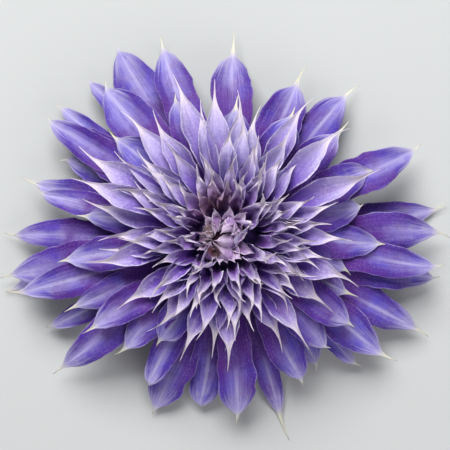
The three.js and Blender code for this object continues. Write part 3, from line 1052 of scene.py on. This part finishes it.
class Finish:
    """A material in the making, with the colour laid on so far."""

    def __init__(self, name):
        self.material = bpy.data.materials.new(name)
        self.material.use_nodes = True
        self.tree = self.material.node_tree
        self.shader = self.tree.nodes["Principled BSDF"]
        self.tint = None

    def read(self, *names):
        """Mesh attributes, as fields."""
        nodes = [add_node(self.tree, "ShaderNodeAttribute", {"attribute_name": name}) for name in names]
        return [Field(self.tree, node.outputs["Fac"]) for node in nodes]

    def place(self):
        """The place in the flower's own space."""
        return self.tree.nodes.new("ShaderNodeTexCoord").outputs["Object"]

    def mottle(self, scale, detail=3.0):
        """A soft cloudy pattern in the flower's own space, from 0 to 1."""
        return noise(self.tree, self.place(), scale, detail)

    def streaks(self, across, along, tone, fineness):
        """Fine veins that run the length of a blade, from 0 to 1."""
        return noise(self.tree, vector(self.tree, across * fineness, along * 1.6, tone * 40))

    def near(self, spot, roughness):
        """1 near the middle of a spot and 0 beyond it, with a rough outline."""
        middle, (full, gone) = spot
        gap = add_node(self.tree, "ShaderNodeVectorMath", {"operation": "DISTANCE"})
        feed(self.tree, gap.inputs[0], self.place())
        feed(self.tree, gap.inputs[1], [part * MM for part in middle])
        far = Field(self.tree, gap.outputs["Value"]) / MM + self.mottle(SPOT_GRAIN, 5.0).swing(roughness)
        return 1 - far.step(full, gone)

    def blend(self, share, first, second):
        """One colour laid over another by a share from 0 to 1."""
        node = add_node(self.tree, "ShaderNodeMix", {"data_type": "RGBA"})
        for socket, value in ((MIX_SHARE, share), (MIX_FIRST, first), (MIX_SECOND, second)):
            feed(self.tree, node.inputs[socket], value)
        return node.outputs[MIX_RESULT]

    def lay(self, share, tint):
        """Lays a colour over the one so far by a share from 0 to 1."""
        self.tint = self.blend(share, self.tint, tint)

    def relieve(self, height, depth, strength):
        """Joins a relief to the shader, with its depth in millimetres."""
        bump = add_node(self.tree, "ShaderNodeBump", Strength=strength, Distance=depth * MM, Height=height)
        feed_inputs(self.tree, self.shader, {"Normal": bump.outputs["Normal"]})
        return bump.outputs["Normal"]

    def done(self, **values):
        """The material, with its colour joined on and the shader's other inputs set."""
        feed_inputs(self.tree, self.shader, dict(values, Base_Color=self.tint))
        return self.material

    def blade_done(self, relief, depth, glow):
        """The material of a blade, with its relief, and with some light passing through."""
        normal = self.relieve(relief, depth, strength=0.5)
        self.done(Roughness=0.62, Specular_IOR_Level=0.35, Sheen_Weight=0.12, Sheen_Roughness=0.5)
        through = add_node(self.tree, "ShaderNodeBsdfTranslucent", Color=self.tint, Normal=normal)
        both = add_node(self.tree, "ShaderNodeMixShader")
        for socket, value in zip(both.inputs, (glow, self.shader.outputs["BSDF"], through.outputs["BSDF"])):
            feed(self.tree, socket, value)
        feed_inputs(self.tree, self.tree.nodes["Material Output"], {"Surface": both.outputs["Shader"]})
        return self.material


def sepal_material(colours):
    """Violet sepal: a clouded paler middle, stronger on the paler side as painted light and shade, purple
    margins with a thin light edge, veins, a deep foot near the hub that is partly painted shade, and a cream
    awn.
    """
    finish = Finish("violet_sepal")
    along, across, tone, awn, face, pale = finish.read("along", "across", "tone", "awn", "face", "pale")
    edge = across.size()
    near_tip = along + awn
    back = (0 - face).step(0.1, 0.5)
    veins = finish.streaks(across, along, tone, 8.0)
    ribs = finish.streaks(across, along, tone + 0.37, 2.6)
    threads = finish.streaks(across, along * 3, tone + 0.73, 20.0)
    cloud = finish.mottle(160.0, 2.0)
    stain = finish.mottle(420.0, 5.0)
    grain = finish.mottle(1800.0, 4.0)
    fibres = stain + threads.swing(0.9)

    shade = (tone * 0.5 + cloud * 0.5).step(0.25, 0.75)
    finish.tint = finish.blend(shade, colours.violet, colours.blue_violet)
    finish.lay((edge + ribs.swing(0.9)).step(0.3, 0.9) * 0.75, colours.purple)
    spread = edge + veins.swing(0.35) + ribs.swing(0.8) + cloud.swing(1.2)
    bar = (1 - spread.step(0.0, 0.75)) * (along + cloud.swing(0.5)).step(0.45, 0.75)
    # The bar is stronger where paleness is high: painted light on the left, painted shade towards the top and
    # the painted shade side
    finish.lay(bar * (0.3 + pale * 0.8), colours.bar)
    finish.lay((stain + veins.swing(0.5)).step(0.48, 0.75) * 0.45, colours.purple)
    finish.lay((1 - (along + cloud.swing(0.8)).step(0.45, 0.9)) * 0.85, colours.magenta)
    finish.lay(fibres.step(0.5, 0.75) * 0.3, colours.purple)
    # Near-black at the foot near the hub: partly the sepal's deep foot colour, partly painted shade under the
    # petals
    finish.lay((1 - (along + cloud.swing(0.3)).step(0.08, 0.45)) * 0.9, colours.throat_and_painted_shade)
    finish.lay(back * 0.55, colours.reverse)
    finish.lay(back * (1 - (edge + ribs.swing(0.3)).step(0.1, 0.4)) * 0.5, colours.back_rib)
    patch = fibres.step(0.4, 0.8) * near_tip.step(0.74, 0.98) * (1 - edge.step(0.2, 0.85))
    finish.lay(patch * (1 - back) * 0.6, colours.tip)
    crest = (1 - (edge + grain.swing(0.2)).step(0.02, 0.16)) * (near_tip + tone * 0.3).step(0.85, 1.1) * 0.5
    frost = (near_tip + edge * 0.05 + veins.swing(0.25)).step(0.92, 1.08) * 0.75
    finish.lay(frost.math("MAXIMUM", crest), colours.tip)
    finish.lay((grain + threads.swing(0.8)).step(0.45, 0.85) * 0.14, colours.tip)
    rim = (edge + grain.swing(0.06)).step(0.94, 0.99) * along.step(0.3, 0.5)
    finish.lay(rim * (0.3 + cloud.step(0.4, 0.6) * 0.5), colours.rim)
    finish.lay(near_tip.step(0.99, 1.06), colours.awn)
    relief = veins * 0.6 + ribs * 0.7 + stain * 0.4 + grain * 0.3
    return finish.blade_done(relief, depth=0.5, glow=0.2)


def petal_material(colours):
    """Pale petal: violet at the foot, darkened there with painted shade, lilac blade painted paler towards
    the top of the bloom as painted light, lighter margins and a white awn.
    """
    finish = Finish("lilac_petal")
    along, across, tone, awn, face = finish.read("along", "across", "tone", "awn", "face")
    pale, inward = finish.read("pale", "share")
    edge = across.size()
    innermost = inward.step(0.1, 0.8)
    veins = finish.streaks(across, along, tone, 6.0)
    ribs = finish.streaks(across, along, tone + 0.41, 2.2)
    threads = finish.streaks(across, along * 3, tone + 0.73, 18.0)
    cloud = finish.mottle(190.0)
    grain = finish.mottle(1300.0, 4.0)
    speck = finish.mottle(2600.0, 2.0)

    # The blade is paler towards the top of the bloom, and its violet foot shorter there: painted light
    body = finish.blend(pale + cloud.swing(0.5), colours.lilac, colours.pale_lilac)
    body = finish.blend(innermost * 0.6, body, colours.blush)
    foot = finish.blend(innermost, colours.violet_foot, colours.purple_foot)
    finish.tint = finish.blend((along + cloud.swing(0.3) + pale * 0.22).step(0.42, 0.85), foot, body)
    # Near-black where the petal leaves the core: partly the deep violet of the foot, partly painted shade
    # between the petals
    finish.lay(1 - along.step(0.05, 0.45), colours.deep_foot_and_painted_shade)
    finish.lay((cloud + veins.swing(0.6)).step(0.55, 0.75) * 0.5, colours.blush)
    finish.lay((veins + grain.swing(0.5)).step(0.5, 0.72) * 0.4, colours.violet_foot)
    finish.lay((speck + threads.swing(0.8)).step(0.5, 0.72) * 0.4, colours.violet_foot)
    finish.lay((grain + threads.swing(0.8)).step(0.52, 0.72) * along.step(0.3, 0.7) * 0.5, colours.margin)
    finish.lay((0 - face).step(0.1, 0.5) * 0.4, colours.reverse)
    rim = (edge + grain.swing(0.3) + ribs.swing(0.2)).step(0.84, 0.99) * along.step(0.15, 0.5)
    rim = rim * (0.4 + cloud.step(0.38, 0.6) * 0.6)
    finish.lay(rim, colours.margin)
    finish.lay((along + awn * 0.7 + edge * 0.08 + ribs.swing(0.35)).step(0.7, 0.98) * 0.55, colours.margin)
    finish.lay((along + awn + edge * 0.04 + grain.swing(0.08)).step(0.93, 1.05) * 0.9, colours.awn)
    # Painted shade laid on the petals to the right of the heart
    finish.lay(finish.near(PAINTED_SHADE_PETALS, 2) * (1 - rim) * 0.85, colours.deep_foot_and_painted_shade)
    finish.lay(finish.near(PINK_PETALS, 6) * 0.6, colours.pink)
    finish.lay(finish.near(BROWN_PETALS, 9) * (1 - along.step(0.6, 0.95)) * 0.85, colours.brown)
    relief = veins * 0.8 + ribs * 0.6 + grain * 0.5 + threads * 0.4
    return finish.blade_done(relief, depth=0.8, glow=0.26)


def core_material(colours):
    """Core under the petals: deep violet clouded towards near black, painted shade where it lies under the
    petals.
    """
    finish = Finish("petal_core")
    finish.tint = finish.blend(finish.mottle(300.0), colours.deep_foot_and_painted_shade, CORE_PAINTED_SHADE)
    return finish.done(Roughness=0.8)


def hub_material(colours):
    """Hub under the sepals: dull violet, greener below."""
    finish = Finish("hub")
    height = add_node(finish.tree, "ShaderNodeSeparateXYZ", Vector=finish.place()).outputs["Z"]
    low = 1 - (Field(finish.tree, height) / MM + finish.mottle(400.0) * 2).step(10.5, 13.5)
    # The hub's violet is clouded with the throat colour, partly painted shade under the sepals
    finish.tint = finish.blend(finish.mottle(300.0), colours.throat_and_painted_shade, colours.reverse)
    finish.lay(low * 0.7, colours.hub)
    return finish.done(Roughness=0.7)


def stem_material(colours):
    """Stalk and receptacle: green, flushed with purple brown, with fine lines down its length."""
    finish = Finish("green_stem")
    turned = add_node(
        finish.tree,
        "ShaderNodeMapping",
        Vector=finish.place(),
        Rotation=(0.0, 0.0, math.radians(-STEM_AZIMUTH)),
        Scale=(120.0, 2200.0, 2200.0),
    )
    lines = noise(finish.tree, turned.outputs["Vector"])
    finish.tint = finish.blend(finish.mottle(260.0), colours.green, colours.light_green)
    finish.lay((finish.mottle(110.0) + lines.swing(0.5)).step(0.45, 0.65) * 0.75, colours.flush)
    finish.relieve(lines, depth=0.12, strength=0.6)
    return finish.done(Roughness=0.55, Sheen_Weight=0.25)


def heart_core_material(colours):
    """Brown, closely packed middle of the heart."""
    finish = Finish("heart_core")
    grain = finish.mottle(1200.0)
    finish.tint = finish.blend(grain.step(0.45, 0.75) * 0.6, colours.brown, colours.violet)
    finish.relieve(grain, depth=0.4, strength=0.8)
    return finish.done(Roughness=0.8)


def bud_material(colours):
    """Heart: greyish mauve petals, brownish where they close up, partly the heart's own brown and partly
    painted shade.
    """
    finish = Finish("mauve_bud")
    along, across, tone, pale = finish.read("along", "across", "tone", "pale")
    veins = finish.streaks(across, along, tone, 5.0)
    blotch = finish.mottle(700.0, 5.0)
    wrinkle = finish.mottle(1600.0, 4.0)

    finish.tint = finish.blend(tone * 0.5 + pale * 0.8 + blotch.swing(0.4), colours.mauve, colours.grey_mauve)
    finish.lay((1 - pale.step(0.0, 0.5)) * 0.6, colours.brown)
    # Brown at the foot, where the petals close up: partly the heart's own brown, partly painted shade
    finish.lay((1 - (along + blotch.swing(0.6)).step(0.2, 0.6)) * 0.9, colours.brown)
    finish.lay((veins + blotch.swing(0.8)).step(0.45, 0.7) * 0.6, colours.violet)
    finish.lay((wrinkle + veins.swing(0.6)).step(0.52, 0.75) * 0.3, colours.margin)
    finish.lay(finish.near(OLIVE_HOLLOW, 3) * 0.8, colours.olive)
    finish.lay((across.size() + wrinkle.swing(0.4)).step(0.8, 0.97) * (0.35 + pale * 0.6), colours.margin)
    finish.lay((along + pale * 0.3 + wrinkle.swing(0.3)).step(0.85, 1.1) * 0.5, colours.margin)
    # Dark brown in the hollow by the heart's point: partly its brown, partly painted shade
    finish.lay(finish.near(BROWN_AND_SHADED_HOLLOW, 1.5) * 0.95, colours.brown)
    return finish.blade_done(veins * 0.6 + wrinkle * 0.9, depth=0.7, glow=0.12)


# What a user may change

class SepalSettings(bpy.types.PropertyGroup):
    """Sizes and colours of the violet sepals."""

    thickness: length("Thickness", "Thickness of a sepal at its middle", 0.34)
    ripple: length("Ripple", "Height of the waves along a sepal's margins", 0.75)
    violet: colour("Violet", "Main colour", (84, 53, 170))
    blue_violet: colour("Blue violet", "Second main colour", (86, 72, 190))
    bar: colour("Bar", "Paler clouded middle", (178, 172, 226))
    purple: colour("Purple", "Purple margins and veins", (64, 31, 140))
    magenta: colour("Magenta", "Warmer colour of the lower half", (88, 26, 134))
    # The throat colour is partly the deep foot colour, partly painted shade under the petals
    throat_and_painted_shade: colour("Throat", "Deep colour near the hub", (44, 14, 84))
    reverse: colour("Reverse", "Colour of the back", (120, 108, 180))
    back_rib: colour("Back rib", "Paler middle of the back", (160, 164, 178))
    tip: colour("Tip", "Whitish tip of the blade", (198, 194, 230))
    rim: colour("Rim", "Thin light line at the margins", (172, 158, 216))
    awn: colour("Awn", "Cream point at the tip", (224, 224, 204))
    hub: colour("Hub", "Foot of the hub", (96, 100, 84))


class PetalSettings(bpy.types.PropertyGroup):
    """Sizes and colours of the pale petals."""

    thickness: length("Thickness", "Thickness of a petal at its middle", 0.3)
    ripple: length("Ripple", "Height of the waves along a petal's margins", 0.5)
    lilac: colour("Lilac", "Main colour", (150, 121, 212))
    # The palest petals lie towards the top of the bloom: painted light
    pale_lilac: colour("Pale lilac", "Main colour of the palest petals", (176, 167, 220))
    violet_foot: colour("Violet foot", "Colour of the lower half", (108, 70, 182))
    purple_foot: colour("Purple foot", "Colour of the lower half beside the heart", (116, 64, 160))
    # Partly the deep violet of the foot, partly painted shade between the petals
    deep_foot_and_painted_shade: colour("Deep foot", "Colour where the petal leaves the core", (58, 22, 108))
    blush: colour("Blush", "Warmer clouds on the blade", (166, 126, 194))
    brown: colour("Brown", "Colour of the oldest petals beside the heart", (128, 88, 92))
    pink: colour("Pink", "Colour round the oldest petals", (176, 128, 176))
    margin: colour("Margin", "Light margins", (236, 230, 252))
    reverse: colour("Reverse", "Colour of the back", (166, 148, 206))
    awn: colour("Awn", "White point at the tip", (236, 228, 238))


class HeartSettings(bpy.types.PropertyGroup):
    """Sizes and colours of the heart."""

    thickness: length("Thickness", "Thickness of a bud petal at its middle", 0.4)
    mauve: colour("Mauve", "Main colour", (116, 84, 144))
    grey_mauve: colour("Grey mauve", "Second main colour", (164, 134, 182))
    violet: colour("Violet", "Veins", (96, 64, 136))
    # The brown of the closed-up hollows is partly painted shade
    brown: colour("Brown", "Closed-up hollows", (76, 32, 42))
    olive: colour("Olive", "Oldest petals", (92, 74, 66))
    margin: colour("Margin", "Light margins", (222, 208, 226))


class StemSettings(bpy.types.PropertyGroup):
    """Colours of the stalk and the receptacle."""

    green: colour("Green", "Main colour", (92, 110, 52))
    light_green: colour("Light green", "Second main colour", (132, 146, 78))
    flush: colour("Flush", "Purple brown flush", (94, 56, 62))


class StageSettings(bpy.types.PropertyGroup):
    """Floor and lights."""

    floor_size: FloatProperty(
        name="Floor size", description="Side of the floor", default=4.0, min=1.0, unit="LENGTH"
    )
    floor_colour: colour("Floor", "Pale floor", (183, 188, 187))
    key_power: FloatProperty(
        name="Key light", description="Power of the main light, in watts", default=10.0, min=0.0
    )
    sky: FloatProperty(name="Sky", description="Strength of the light all round", default=0.28, min=0.0)


# Operators

class OBJECT_OT_clematis_sepals(bpy.types.Operator):
    """Make the violet sepals"""

    bl_idname = "object.clematis_sepals"
    bl_label = "Violet sepals"

    def execute(self, context):
        settings = context.scene.clematis_sepals
        material = sepal_material(settings)
        kinds = all_blades()
        for kind in ("long_sepals", "short_sepals"):
            piece = grow_blades(
                kind,
                kinds[kind],
                sides=28,
                rows=34,
                thickness=settings.thickness / MM,
                awn_width=0.8,
                flare=0.9,
                ragged=0.42,
                bend=1.2,
                snake=1.1,
                ripple=settings.ripple / MM,
                ripples=3.2,
                tip_fold=2.0,
                margin_curl=-0.06,
                midrib=0.14,
                crumple=0.5,
                twist=5.0,
                awn_hook=1.4,
                material=material,
            )
            stand_for(piece, "outer_sepals")
        hub = lathe("hub", HUB_PROFILE, hub_material(settings))
        stand_for(hub, "outer_sepals")
        return {"FINISHED"}


class OBJECT_OT_clematis_petals(bpy.types.Operator):
    """Make the pale petals"""

    bl_idname = "object.clematis_petals"
    bl_label = "Pale petals"

    def execute(self, context):
        settings = context.scene.clematis_petals
        material = petal_material(settings)
        kinds = all_blades()
        kinds["dome_petals"] = kinds["dome"] + kinds["fillers"]
        for kind in ("long_petals", "dome_petals"):
            piece = grow_blades(
                kind,
                kinds[kind],
                sides=20,
                rows=28,
                thickness=settings.thickness / MM,
                awn_width=0.7,
                flare=0.5,
                ragged=0.36,
                bend=1.6,
                snake=0.9,
                ripple=settings.ripple / MM,
                ripples=3.1,
                liveliness=1.6,
                tip_fold=1.6,
                margin_curl=0.4,
                midrib=0.1,
                crumple=0.7,
                twist=22.0,
                awn_hook=1.8,
                material=material,
            )
            stand_for(piece, "inner_petals")
        core = lathe("petal_core", CORE_PROFILE, core_material(settings))
        stand_for(core, "inner_petals")
        return {"FINISHED"}


class OBJECT_OT_clematis_heart(bpy.types.Operator):
    """Make the heart of the flower"""

    bl_idname = "object.clematis_heart"
    bl_label = "Heart"

    def execute(self, context):
        settings = context.scene.clematis_heart
        kinds = all_blades()
        piece = grow_blades(
            "heart_petals",
            kinds["heart"] + kinds["curls"] + kinds["frills"],
            sides=24,
            rows=24,
            thickness=settings.thickness / MM,
            awn_width=0.5,
            flare=0.2,
            ragged=0.5,
            bend=0.3,
            snake=0.3,
            ripple=0.4,
            ripples=2.2,
            tip_fold=0.6,
            margin_curl=0.1,
            midrib=0.05,
            crumple=0.9,
            twist=9.0,
            awn_hook=0.3,
            material=bud_material(settings),
        )
        stand_for(piece, "heart")
        core = lathe("heart_core", HEART_PROFILE, heart_core_material(settings), HEART_OFFSET, segments=32)
        stand_for(core, "heart")
        return {"FINISHED"}


class OBJECT_OT_clematis_stem(bpy.types.Operator):
    """Make the stalk and the receptacle"""

    bl_idname = "object.clematis_stem"
    bl_label = "Stem"

    def execute(self, context):
        material = stem_material(context.scene.clematis_stem)
        for piece in (make_stalk("stalk", material), lathe("receptacle", RECEPTACLE_PROFILE, material)):
            stand_for(piece, "stem")
        return {"FINISHED"}


class OBJECT_OT_clematis_stage(bpy.types.Operator):
    """Make the floor, the lights and the camera"""

    bl_idname = "object.clematis_stage"
    bl_label = "Floor, lights and camera"

    def execute(self, context):
        settings = context.scene.clematis_stage
        make_floor(settings)
        make_lights(settings)
        make_camera()
        return {"FINISHED"}


def make_floor(settings):
    """A plain pale floor under the flower."""
    half = settings.floor_size / 2
    corners = [(-half, -half, 0), (half, -half, 0), (half, half, 0), (-half, half, 0)]
    mesh = bpy.data.meshes.new("floor")
    mesh.from_pydata(corners, [], [(0, 1, 2, 3)])
    finish = Finish("floor")
    finish.tint = settings.floor_colour
    mesh.materials.append(finish.done(Roughness=0.9))
    floor = add_object("floor", mesh)


def make_light(name, place, side, power, tint):
    """A soft square light that points at the flower."""
    data = bpy.data.lights.new(name, "AREA")
    data.size = side
    data.energy = power
    data.color = tint
    light = add_object(name, data)
    light.location = place
    light.rotation_euler = (Vector(LIGHT_TARGET) - Vector(place)).to_track_quat("-Z", "Y").to_euler()


def make_lights(settings):
    """A large soft key light, a weaker fill and an even sky."""
    for name, (place, side, share, tint) in (("key", KEY_LIGHT), ("fill", FILL_LIGHT)):
        make_light(name, place, side, settings.key_power * share, tint)
    world = bpy.data.worlds.new("sky")
    world.use_nodes = True
    background = world.node_tree.nodes["Background"]
    feed_inputs(world.node_tree, background, {"Color": SKY_TINT, "Strength": settings.sky})
    bpy.context.scene.world = world
    bpy.context.scene.view_settings.view_transform = "Standard"


def make_camera():
    """The photograph's view: straight onto the flower's face."""
    data = bpy.data.cameras.new("camera")
    data.sensor_width = SENSOR_WIDTH
    data.lens = SENSOR_WIDTH * (CAMERA_HEIGHT / MM - SEPAL_LEVEL) / FRAME_WIDTH
    camera = add_object("camera", data)
    camera.location = (CAMERA_MIDDLE[0] * MM, CAMERA_MIDDLE[1] * MM, CAMERA_HEIGHT)
    bpy.context.scene.camera = camera


class VIEW3D_PT_clematis(bpy.types.Panel):
    """Lists what makes the flower"""

    bl_label = "Clematis"
    bl_space_type = "VIEW_3D"
    bl_region_type = "UI"
    bl_category = "Clematis"

    def draw(self, context):
        for operator in OPERATORS:
            self.layout.operator(operator.bl_idname)
        for group in SETTINGS:
            box = self.layout.box()
            settings = getattr(context.scene, group)
            for key in settings.bl_rna.properties.keys():
                if key not in ("rna_type", "name"):
                    box.prop(settings, key)


SETTINGS = {
    "clematis_sepals": SepalSettings,
    "clematis_petals": PetalSettings,
    "clematis_heart": HeartSettings,
    "clematis_stem": StemSettings,
    "clematis_stage": StageSettings,
}
OPERATORS = (
    OBJECT_OT_clematis_sepals,
    OBJECT_OT_clematis_petals,
    OBJECT_OT_clematis_heart,
    OBJECT_OT_clematis_stem,
    OBJECT_OT_clematis_stage,
)


def register():
    """Adds the settings, the operators and the panel."""
    for name, group in SETTINGS.items():
        bpy.utils.register_class(group)
        setattr(bpy.types.Scene, name, PointerProperty(type=group))
    for operator in OPERATORS:
        bpy.utils.register_class(operator)
    bpy.utils.register_class(VIEW3D_PT_clematis)


def unregister():
    """Takes away what register added."""
    bpy.utils.unregister_class(VIEW3D_PT_clematis)
    for operator in reversed(OPERATORS):
        bpy.utils.unregister_class(operator)
    for name, group in SETTINGS.items():
        delattr(bpy.types.Scene, name)
        bpy.utils.unregister_class(group)


def main():
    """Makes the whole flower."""
    register()
    bpy.ops.object.clematis_stage()
    bpy.ops.object.clematis_sepals()
    bpy.ops.object.clematis_petals()
    bpy.ops.object.clematis_heart()
    bpy.ops.object.clematis_stem()


if __name__ == "__main__":
    main()
